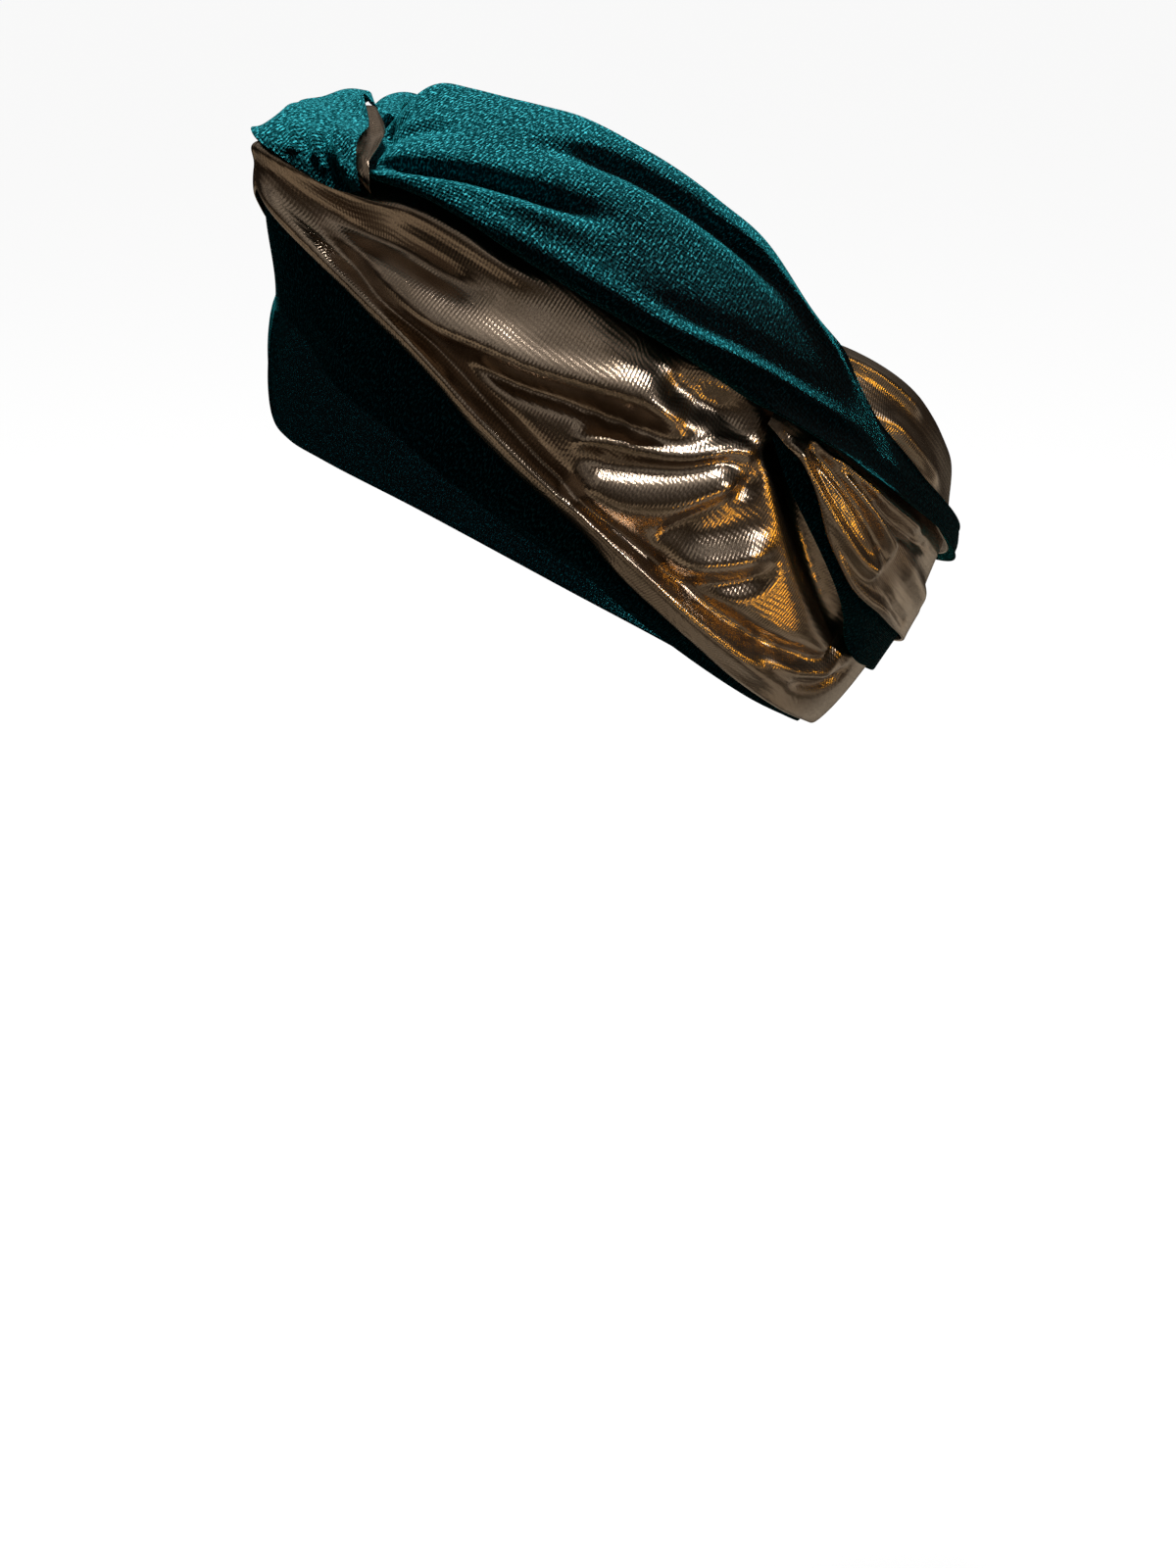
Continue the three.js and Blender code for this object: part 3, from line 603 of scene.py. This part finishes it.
lower_folds = [
    # hem groove, hem roll
    ([(1, -0.8), (3, -2.1), (6, -3.6), (9.8, -5.6), (13.5, -7.8), (21.1, -10.7), (30.1, -13.5),
      (34.3, -15.2), (44.7, -19.8), (52.7, -23.9), (60.4, -27.5), (69.2, -30.6), (79.8, -33.2),
      (93.6, -35.8), (102.3, -36.1), (113.7, -34.5), (125.3, -30.6)], -4.0, 1.8, 2.4, 0.16, 0.15),
    ([(0, -2.6), (5, -6.4), (10.6, -10.0), (16, -12.0), (24, -14.8), (35.6, -19.2), (46.6, -25.0),
      (58.4, -30.0), (69.8, -33.4), (80.8, -37), (92.1, -40.6), (106.2, -43),
      (125.6, -44)], 3.8, 3.0, 2.4, 0.05, 0.2),
    # upper roll and the hollow below it
    ([(-8, 3.0), (0, 2.6), (7.5, 2.8), (11.3, 4.0), (16.6, 5.6), (24.1, 8.2), (31.6, 8.6),
      (43.5, 8.0), (50.2, 10.2)], 2.6, 1.6, 2.6, 0.1, 0.2),
    ([(3.8, -1.0), (9.8, -0.8), (16.6, -0.5), (24.1, 0.0), (30.1, -0.3), (36, -0.3),
      (43, 1)], -4.6, 3.4, 3.2, 0.15, 0.3),
    # long fold from the front, with its rounded end, and the hollow under it
    ([(14, -7.2), (18.1, -8.8), (24, -10.8), (30, -12.0), (36.7, -12.2), (42.4, -11.1),
      (47.1, -10.3), (52, -9.4), (56.5, -7.3), (61.3, -4.9), (65.3, -2.7), (68.9, -1.6),
      (72.1, -1.8), (74.2, -3.2), (75.0, -5.2)], 6.5, 1.6, 8.0, 0.3, 0.10),
    ([(38, -15.6), (44, -14.4), (50.5, -13.2), (57.7, -10.4), (64, -8.4), (70.9, -7),
      (75.5, -7)], -4.0, 3.0, 1.8, 0.3, 0.2),
    ([(57, -9.6), (65, -7.4), (73.5, -5.9)], 1.1, 0.8, 0.8, 0.35, 0.2),
    ([(60, -12.0), (67, -9.8), (74, -8.0)], 1.1, 0.8, 0.8, 0.35, 0.2),
    # a soft turn in the cloth above that fold, round a flat patch
    ([(66.5, 4.2), (71.0, 5.6), (77.0, 7.4), (84, 9.5)], -4.2, 4.4, 4.8, 0.25, 0.35),
    ([(46, -2.5), (52, 1.2), (58, 4.2), (63, 6.4)], 0.9, 3.0, 4.0, 0.3, 0.3),
    # second fold: a rolled lip, the crease under it and the broad face below
    ([(62.0, -19.5), (62.6, -17.6), (64.9, -14.7), (67.5, -12.7), (70.9, -10.6), (74.3, -8.4),
      (76.5, -6.3), (78.4, -3.2), (80.4, -0.2), (82.7, 2.0), (84.8, 2.6),
      (86.7, 2.0)], 4.2, 1.5, 1.8, 0.08, 0.12),
    ([(63.9, -20.7), (68.1, -18.3), (71.9, -14.8), (75.6, -10.7), (78.5, -6.7), (81.4, -2.6),
      (84.5, 0.4)], -2.6, 1.6, 1.1, 0.1, 0.15),
    ([(64, -27), (70.5, -25.5), (76, -21), (80.3, -14.5), (84, -7),
      (86.6, -1.5)], 5.8, 4.5, 8.0, 0.12, 0.2),
    ([(88.2, 0.2), (86.2, -5.6), (83.4, -12), (81.4, -18), (80.3, -24),
      (80.3, -30)], -2.4, 1.5, 2.4, 0.15, 0.2),
    # bulge above the hem and the hollow under it
    ([(82.5, -32), (86.5, -27.5), (90.3, -23), (93.8, -17.5),
      (97, -10.5)], 5.0, 3.6, 4.6, 0.25, 0.35),
    ([(83.0, -35.2), (88.5, -33.2), (93, -29.6), (97, -23.8),
      (100, -16.5)], -3.0, 2.4, 2.2, 0.2, 0.25),
    # creases near the ear
    ([(101, -37.5), (112.5, -34.6), (124.5, -28.6), (127.7, -22.5)], -3.0, 2.0, 1.8, 0.2, 0.15),
    ([(117.7, -40.8), (129.9, -35.7), (135.4, -28.1)], -2.8, 2.0, 2.0, 0.3, 0.2),
    ([(108, -39.5), (121, -36.2), (131, -29)], 2.2, 2.0, 2.0, 0.3, 0.3),
    # dark valley before the tail
    ([(87.7, 13.7), (94.1, 3.6), (102.4, -6.7), (113.8, -16.6),
      (132, -24.7)], -9.0, 5.5, 5.0, 0.08, 0.2),
]
lower_band = dress("lower_band_foil", LOWER_ROWS, (272, 42), lame, lower_folds, closed=True)
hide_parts("lower_band")

# %% [markdown]
# ## Left tail
# Behind the ear the left end turns over, so its foil face comes out from under the upper band.
# It is pinched there and fans out in a leaf-shaped fold. Its velvet face shows below its rim.

# %% Left tail
TAIL_LINING_ROWS = [
    (86, 9, 14, 9, 9, 0), (92, 3, 14, 8.5, 8.5, 0), (104, -6.8, 10, 8, 8, 0),
    (116, -15.7, 5, 7, 8, 0.5), (129, -25, 0, 5, 7, 1), (142, -24.5, -2, 4, 7, 1.5),
    (180, -24, -4, 3, 4, 2), (215, -26, -10, 3, 4, 2), (240, -22, -8, 3, 3, 1),
    (250, -18, -8, 3, 3, 0),
]
TAIL_ROWS = [
    (84, 11, 17, 9, 9, 0), (92, 6.6, 20, 10, 10, 1), (104, -4.9, 22, 10, 6.5, 3),
    (112, -10.2, 22, 9.5, 4, 3.5), (124, -11.7, 21, 7, 2.5, 3), (149, -12, 18, 5, 3, 3.5),
    (180, -14, 12, 4, 3, 4.5), (215, -20, 6, 3, 3, 6), (240, -18, 6, 2, 2, 4),
    (252, -12, 5, 2, 2, 1),
]
tail_folds = [
    ([(86.8, 11.9), (95.1, 2.5), (104.4, -5.0), (112.3, -8.8), (125.4, -9.6),
      (138.5, -9.8)], 1.6, 1.4, 1.4, 0.05, 0.2),
    ([(87.8, 11.6), (94.9, 5.1), (103.9, -0.7), (111.4, -3.4),
      (117.4, -2.4)], 4.0, 2.4, 2.0, 0.1, 0.15),
    ([(90.6, 12.9), (98.4, 9.4), (107.1, 5.1), (117.5, 0)], -5.0, 1.4, 1.4, 0.1, 0.15),
    ([(91.7, 12.9), (99.5, 10.8), (108.7, 7), (116.1, 4.7), (119, 2.2)], 3.2, 1.4, 1.6, 0.1, 0.15),
    ([(92.8, 12.5), (102, 11.5), (109, 10.0), (119.9, 10.0),
      (136.7, 11.7)], -2.9, 1.4, 1.4, 0.1, 0.2),
    ([(93.6, 14.1), (103.7, 13.1), (115.3, 13.4), (128.3, 14.0)], 2.9, 1.6, 1.8, 0.1, 0.2),
    ([(117.7, -5.0), (126.1, -7.7), (140, -9)], -2.5, 1.6, 1.8, 0.3, 0.3),
    ([(118, 5), (132, 3), (150, 0)], 2.9, 4.0, 3.0, 0.3, 0.3),
]
tail_lining = dress("left_tail_velvet", TAIL_LINING_ROWS, (120, 18), velvet)
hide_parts("left_tail_lining")
left_tail = dress("left_tail_foil", TAIL_ROWS, (150, 34), lame, tail_folds)
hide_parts("left_tail")

# %% [markdown]
# ## Right tail
# The other end crosses the back higher up, and its tip comes out behind the left ear.

# %% Right tail
RIGHT_TAIL_ROWS = [
    (80, 30, 37, 3, 3, 0), (84, 28, 38.6, 3, 3, 0), (89, 24, 41, 3, 2.5, 3),
    (96, 20, 44.2, 2.5, 2, 3), (106, 18, 46.8, 2, 1.8, 2.8), (117, 18, 47.4, 1.8, 1.6, 2.5),
    (126, 18, 45.6, 1.8, 1.6, 2.2), (135, 17, 43.5, 1.8, 1.6, 2), (150, 16, 41.5, 2, 1.8, 3),
    (180, 14, 40, 2, 1.5, 5), (200, 10, 38, 2, 1.5, 6), (215, 5, 34, 3, 2, 6),
    (230, -4, 30, 4, 3, 6), (245, -8, 26, 5, 4, 5), (256, -2, 24, 7, 6, 3), (268, 8, 20, 8, 8, 1),
    (276, 11, 17, 8, 8, 0),
]
right_tail_folds = [
    ([(88, 36.5), (97, 40.6), (108, 42.4), (120, 41.6)], 1.6, 1.6, 2.0, 0.1, 0.2),
    ([(101.7, 30.1), (107.6, 32.4), (118, 31.2), (135, 29)], 2.3, 2.5, 3.0, 0.3, 0.3),
    ([(96, 27), (110, 28), (128, 25)], -1.8, 2.5, 2.5, 0.3, 0.3),
    ([(272, 13.5), (262, 8), (250, 2), (238, -1)], 2.9, 2.4, 2.0, 0.1, 0.2),
    ([(271, 14.5), (258, 12.5), (244, 9)], -4.0, 1.6, 1.6, 0.1, 0.2),
    ([(270, 15.5), (255, 17), (235, 18), (210, 20)], 3.2, 2.4, 2.4, 0.1, 0.3),
]
right_tail = dress("right_tail_foil", RIGHT_TAIL_ROWS, (200, 28), lame, right_tail_folds)
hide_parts("right_tail")

# %% [markdown]
# ## Upper bands
# Each end leaves the twist pinched, opens over the temple and narrows again behind the ear. The
# folds fan out of the pinch: a deep one in the middle, softer ones above it, and a roll along
# the lower edge.

# %% Left upper band
LEFT_UPPER_ROWS = [
    (-3, 24, 31, 3, 4, 1), (1, 20, 35.5, 3, 5.5, 3), (5, 14, 39, 3, 6.5, 5.5),
    (9, 10.5, 41.5, 6, 6.5, 7.5), (13, 9.6, 44, 9, 5.5, 6.8), (19.5, 10.6, 47.5, 10, 4, 6.4),
    (26.5, 11.6, 50.5, 10, 3.5, 6.8), (33, 11.8, 53, 9.5, 3.5, 7.4),
    (38.5, 11.3, 53.5, 9.5, 3.5, 8.5), (44, 11.2, 54, 9.5, 3.5, 8.5),
    (50, 11.4, 54.6, 9.5, 3.5, 8.2), (55, 11.5, 54.6, 9.5, 3.5, 8), (62, 12, 53.8, 9, 3.2, 8.3),
    (69.6, 12.6, 52.5, 8.5, 3, 8.8), (83, 13.3, 43.5, 8.5, 3, 8.3), (90, 14, 38, 8, 4, 8),
    (101, 14.4, 29, 7.5, 5.5, 6), (114.5, 15.5, 24.5, 3, 3, 3.5), (126, 16.5, 23.8, 1.5, 1.5, 2.5),
    (145, 15.5, 23, 1.5, 1.5, 2.5), (170, 14, 20, 3.5, 3.5, 3.5), (190, 12.5, 16, 3, 3, 2),
]
left_upper_folds = [
    ([(14, 9), (10.5, 15), (5, 22.5), (0, 27)], -6.0, 5.0, 3.0, 0.1, 0.2),
    ([(13.5, 12.2), (22.1, 16.6), (30.6, 21.2), (37.3, 23.6), (43.6, 26.2),
      (52, 30.2)], -4.6, 2.0, 1.8, 0.05, 0.35),
    ([(14.5, 16.0), (22.5, 21.5), (32.6, 27.2), (41.4, 31.2), (53.2, 34.0),
      (61.5, 35.1)], 1.0, 2.4, 4.0, 0.15, 0.4),
    ([(14, 10.5), (22, 15.0), (32, 19.5), (42, 22), (54, 24)], 1.8, 3.0, 2.6, 0.1, 0.4),
    ([(8.4, 19), (9.8, 24), (12.5, 29.5)], -2.4, 1.6, 1.8, 0.1, 0.6),
    ([(11, 18.0), (16, 25.0), (23, 31.0)], -1.8, 1.8, 2.4, 0.1, 0.6),
    ([(30, 34.0), (36.7, 38.3), (47.6, 43.1), (60.6, 44.1), (70.5, 42.8),
      (79.8, 37.2)], -4.3, 2.6, 2.4, 0.3, 0.25),
    ([(56.7, 46.6), (68.8, 45.9), (77, 42.4), (86, 36.9), (95, 30)], 1.8, 1.8, 1.6, 0.3, 0.25),
    ([(60.9, 15.5), (69.9, 17.4), (79.1, 20.1), (92.7, 21.8),
      (103, 22.9)], 2.3, 1.5, 3.5, 0.3, 0.3),
    ([(15.2, 12.0), (30, 14), (44.2, 14.2), (56.7, 15), (68.2, 15.8),
      (82, 17.3)], 1.8, 3.0, 3.0, 0.1, 0.3),
    ([(56, 18), (70, 20.8), (85, 23.2), (97, 24)], -1.8, 2.2, 3.0, 0.3, 0.3),
    ([(102.4, 17.6), (115.3, 19.6), (129.3, 19.9)], -2.9, 1.6, 1.6, 0.3, 0.3),
]
left_upper = dress("left_upper_band_velvet", LEFT_UPPER_ROWS, (230, 48), velvet, left_upper_folds,
                   ROUND_UPPER)
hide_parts("left_upper_band")

# %% Right upper band
RIGHT_UPPER_ROWS = [
    (359, 17, 28, 2, 2, 1.5), (354, 12, 32, 2.5, 3, 2.5), (347, 8, 36, 3, 4, 5),
    (336, 4, 42, 3, 4.5, 8), (322, 4, 47, 3, 4, 9.5), (310, 8, 50, 4.5, 3.5, 10.5),
    (292, 11.5, 51, 7, 3, 10), (277, 13, 46, 7.5, 3, 9), (268, 14, 40, 7, 4, 7),
    (256, 15.5, 33, 6, 5, 5.5), (240, 18.5, 29.5, 4, 4, 5), (222, 22.5, 32, 3, 3, 5),
    (205, 27, 35.5, 3, 3, 4.5), (185, 32.5, 38.5, 3, 3, 4), (165, 36.5, 39.5, 3, 3, 2),
]
right_upper_folds = [
    ([(351, 12.2), (338, 18), (329, 22.5), (316, 25.5), (303, 28)], -7.6, 2.0, 2.4, 0.05, 0.35),
    ([(352, 15.4), (340, 21), (327, 27.0), (310, 31)], 2.9, 3.0, 2.2, 0.05, 0.4),
    ([(350, 20), (338, 30.0), (322, 37.0), (300, 40), (284, 36)], -3.6, 2.4, 2.4, 0.1, 0.3),
    ([(340, 9), (320, 12.5), (300, 15), (280, 17.3)], 1.8, 3.0, 3.0, 0.1, 0.3),
    ([(290, 20), (272, 21), (255, 23)], -2.5, 2.4, 2.4, 0.3, 0.3),
]
right_upper = dress("right_upper_band_velvet", RIGHT_UPPER_ROWS, (220, 40), velvet,
                    right_upper_folds)
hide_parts("right_upper_band")

# %% [markdown]
# ## Loop of the twist
# The loop goes over the crossing from the lower left to the upper right. It is held tight, so
# gathers run down it to its lower edge, and a sliver of its foil face shows at the rear edge.
# Its far end narrows and is tucked into the right band.

# %% Loop
LOOP_LINING_ROWS = [
    (17.6, 6.6, 8.0, 7, 8, 0), (15.8, 7.6, 11.4, 7, 8.5, 0.5), (13.2, 9.3, 15.7, 7, 9, 1),
    (10, 12.0, 19.8, 7, 9.5, 2), (6.6, 14.4, 22.4, 7, 8.5, 3), (2.5, 16.8, 25.3, 7, 8.5, 5),
    (-2, 19, 27.8, 7, 8, 7.5),
]
LOOP_ROWS = [
    (17.5, 5.4, 6.3, 9, 9, 0), (15, 4.7, 10.2, 9.5, 10.5, 0.3), (12.3, 3.5, 14.6, 10, 11.3, 0.8),
    (9.1, 2.9, 18.6, 10.5, 11.6, 2), (5.8, 3.0, 21.6, 10.5, 11, 4.5), (2, 3.6, 24.6, 10, 10, 7.5),
    (0, 4.6, 26, 9, 9.5, 9), (-4, 6.6, 28.5, 6, 9, 11), (-9, 7.6, 30, 4, 9, 12.5),
    (-15, 8.2, 32, 3, 9, 12.5), (-22, 9.5, 33, 2, 7, 9.5), (-29, 12, 31, 2, 4, 5),
    (-36, 17, 26, 1, 2, 0.5),
]
loop_folds = [
    ([(3.4, 14.4), (4.2, 12.6), (6.6, 9.4), (9.0, 6.0)], 2.4, 1.0, 1.0, 0.3, 0.1),
    ([(4.8, 13.9), (6.8, 10.2), (10.5, 5.4)], 2.2, 0.8, 0.8, 0.25, 0.1),
    ([(5.8, 15.4), (8.3, 11.3), (12.3, 6.0)], 2.4, 0.9, 0.9, 0.2, 0.1),
    ([(7.4, 16.4), (9.9, 12.0), (14.8, 6.8)], 2.2, 0.9, 0.9, 0.2, 0.1),
    ([(1.8, 12.6), (4.6, 8.6), (6.8, 5.2)], 1.8, 1.3, 1.2, 0.35, 0.1),
    ([(-20, 20), (-10, 16), (-3, 13.5), (3, 12)], 5.5, 4.0, 4.0, 0.3, 0.4),
]
loop_lining = dress("knot_loop_foil", LOOP_LINING_ROWS, (40, 24), lame, roundness=ROUND_LOOP)
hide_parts("knot_loop_lining")
loop = dress("knot_loop_velvet", LOOP_ROWS, (90, 70), velvet, loop_folds, ROUND_LOOP)
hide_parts("knot_loop")

# %% [markdown]
# ## One strip, nine sheets
# The real strip is one cut, so each sheet has the size of its own stretch of it, and the folds
# and gathers take up the rest.

print("nine sheets of cloth laid")

# %% [markdown]
# ## Floor and light
# A plain pale floor lies far below, where a display stand would stand. The two cloths need
# different light, and a lamp can be told which rays it answers to. A soft lamp straight above
# lights the velvet and is hidden from mirror rays. Four lamps light only mirror rays, so they
# show as shapes in the foil: a window high on the right, a narrow one at the side for the long
# rolls, and two small warm ones low on the right.

# %% Floor
FLOOR_SIZE, FLOOR_LEVEL, FLOOR_GLOW = 14, -0.42, 0.93
bpy.ops.object.select_all(action="DESELECT")
bpy.ops.mesh.primitive_plane_add(size=FLOOR_SIZE, location=(0, 0, FLOOR_LEVEL))
floor = bpy.context.object
floor.name = "floor"
pale, tree, shader = nodes_of("pale_floor")
shader.inputs["Base Color"].default_value = (0.12, 0.12, 0.12, 1)
shader.inputs["Roughness"].default_value = 0.9
shader.inputs["Emission Color"].default_value = (1.0, 1.0, 1.0, 1)
shader.inputs["Emission Strength"].default_value = FLOOR_GLOW
floor.data.materials.append(pale)
floor.visible_diffuse = False
floor.visible_glossy = False
print("floor", FLOOR_LEVEL, "m from the middle of the head")

# %% Light
RIGHT = look.cross(Vector((0, 0, 1))).normalized()
OVER = RIGHT.cross(look).normalized()
LAMP_DISTANCE = 1.5
WHITE, WARM = (1.0, 1.0, 1.0), (1.0, 0.52, 0.03)


def lamp(name, right, over, back, size, power, color):
    """A square soft lamp, placed from the camera's right, up and towards it, aimed at the ring."""
    way = (RIGHT * right + OVER * over - look * back).normalized()
    bpy.ops.object.light_add(type="AREA", location=way * LAMP_DISTANCE,
                             rotation=way.to_track_quat("Z", "Y").to_euler())
    light = bpy.context.object
    light.name = name
    light.data.shape = "RECTANGLE"
    light.data.size, light.data.size_y = size
    light.data.energy = power
    light.data.color = color
    return light


key = lamp("key", -0.13, 0.975, 0.14, (0.42, 0.34), 47, WHITE)
key.visible_glossy = False
for settings in (("window", 0.44, 0.80, 0.40, (0.34, 0.36), 16, WHITE),
                 ("side", 0.90, 0.10, 0.40, (0.13, 0.40), 6, WHITE),
                 ("warm", 0.74, -0.64, 0.20, (0.16, 0.20), 2.0, WARM),
                 ("warm_far", 0.97, -0.12, 0.08, (0.10, 0.26), 1.8, WARM)):
    foil_lamp = lamp(*settings)
    foil_lamp.visible_diffuse = False
    print(foil_lamp.name, foil_lamp.data.energy, "W, seen in the foil only")

# %% [markdown]
# ## Room
# The foil is a mirror that follows its folds, so it needs a room with light and dark in it: a
# pale ceiling and table, a dark band at eye height and a few uneven patches. The cloth's shaded
# parts get a plain dim light instead, and the camera sees a pale backdrop.

# %% Room seen in the foil
ROOM_BANDS = (
    (0.10, (0.20, 0.18, 0.15)), (0.30, (0.26, 0.23, 0.19)), (0.43, (0.020, 0.015, 0.011)),
    (0.56, (0.030, 0.026, 0.021)), (0.70, (0.12, 0.112, 0.105)), (0.9, (0.28, 0.28, 0.28)),
)
PATCH_DARK, PATCH_PALE = (0.10, 0.085, 0.07), (2.0, 1.95, 1.85)
world = bpy.data.worlds.new("room")
bpy.context.scene.world = world
world.use_nodes = True
tree = world.node_tree
mirrored = add_node(tree, "ShaderNodeBackground")
way = add_node(tree, "ShaderNodeTexCoord").outputs["Generated"]
split = add_node(tree, "ShaderNodeSeparateXYZ")
tree.links.new(way, split.inputs[0])
level = math_node(tree, "MULTIPLY", split.outputs[2], 0.5)
level = math_node(tree, "ADD", level, 0.5)
bands = add_node(tree, "ShaderNodeValToRGB")
bands.color_ramp.interpolation = "EASE"
for place, color in ROOM_BANDS:
    stop = bands.color_ramp.elements.new(place)
    stop.color = (*color, 1)
bands.color_ramp.elements.remove(bands.color_ramp.elements[0])
bands.color_ramp.elements.remove(bands.color_ramp.elements[-1])
tree.links.new(level, bands.inputs[0])
patches = ramp(tree, noise(tree, way, 2.8, 1.0), 0.38, 0.62, PATCH_DARK, PATCH_PALE)
tree.links.new(combine(tree, "MULTIPLY", bands.outputs[0], patches), mirrored.inputs[0])
print("room of", len(bands.color_ramp.elements), "bands")

# %% What each kind of ray sees
DIM, BACKDROP = (0.010, 0.011, 0.012, 1), (0.93, 0.93, 0.93, 1)
dim = tree.nodes["Background"]
dim.inputs[0].default_value = DIM
seen = add_node(tree, "ShaderNodeBackground", Color=BACKDROP)
path = add_node(tree, "ShaderNodeLightPath")
glossy = add_node(tree, "ShaderNodeMixShader")
tree.links.new(path.outputs["Is Glossy Ray"], glossy.inputs[0])
tree.links.new(dim.outputs[0], glossy.inputs[1])
tree.links.new(mirrored.outputs[0], glossy.inputs[2])
pick = add_node(tree, "ShaderNodeMixShader")
tree.links.new(path.outputs["Is Camera Ray"], pick.inputs[0])
tree.links.new(glossy.outputs[0], pick.inputs[1])
tree.links.new(seen.outputs[0], pick.inputs[2])
tree.links.new(pick.outputs[0], tree.nodes["World Output"].inputs[0])
bpy.context.scene.view_settings.view_transform = "Standard"
print(world.name, len(tree.nodes), "nodes")
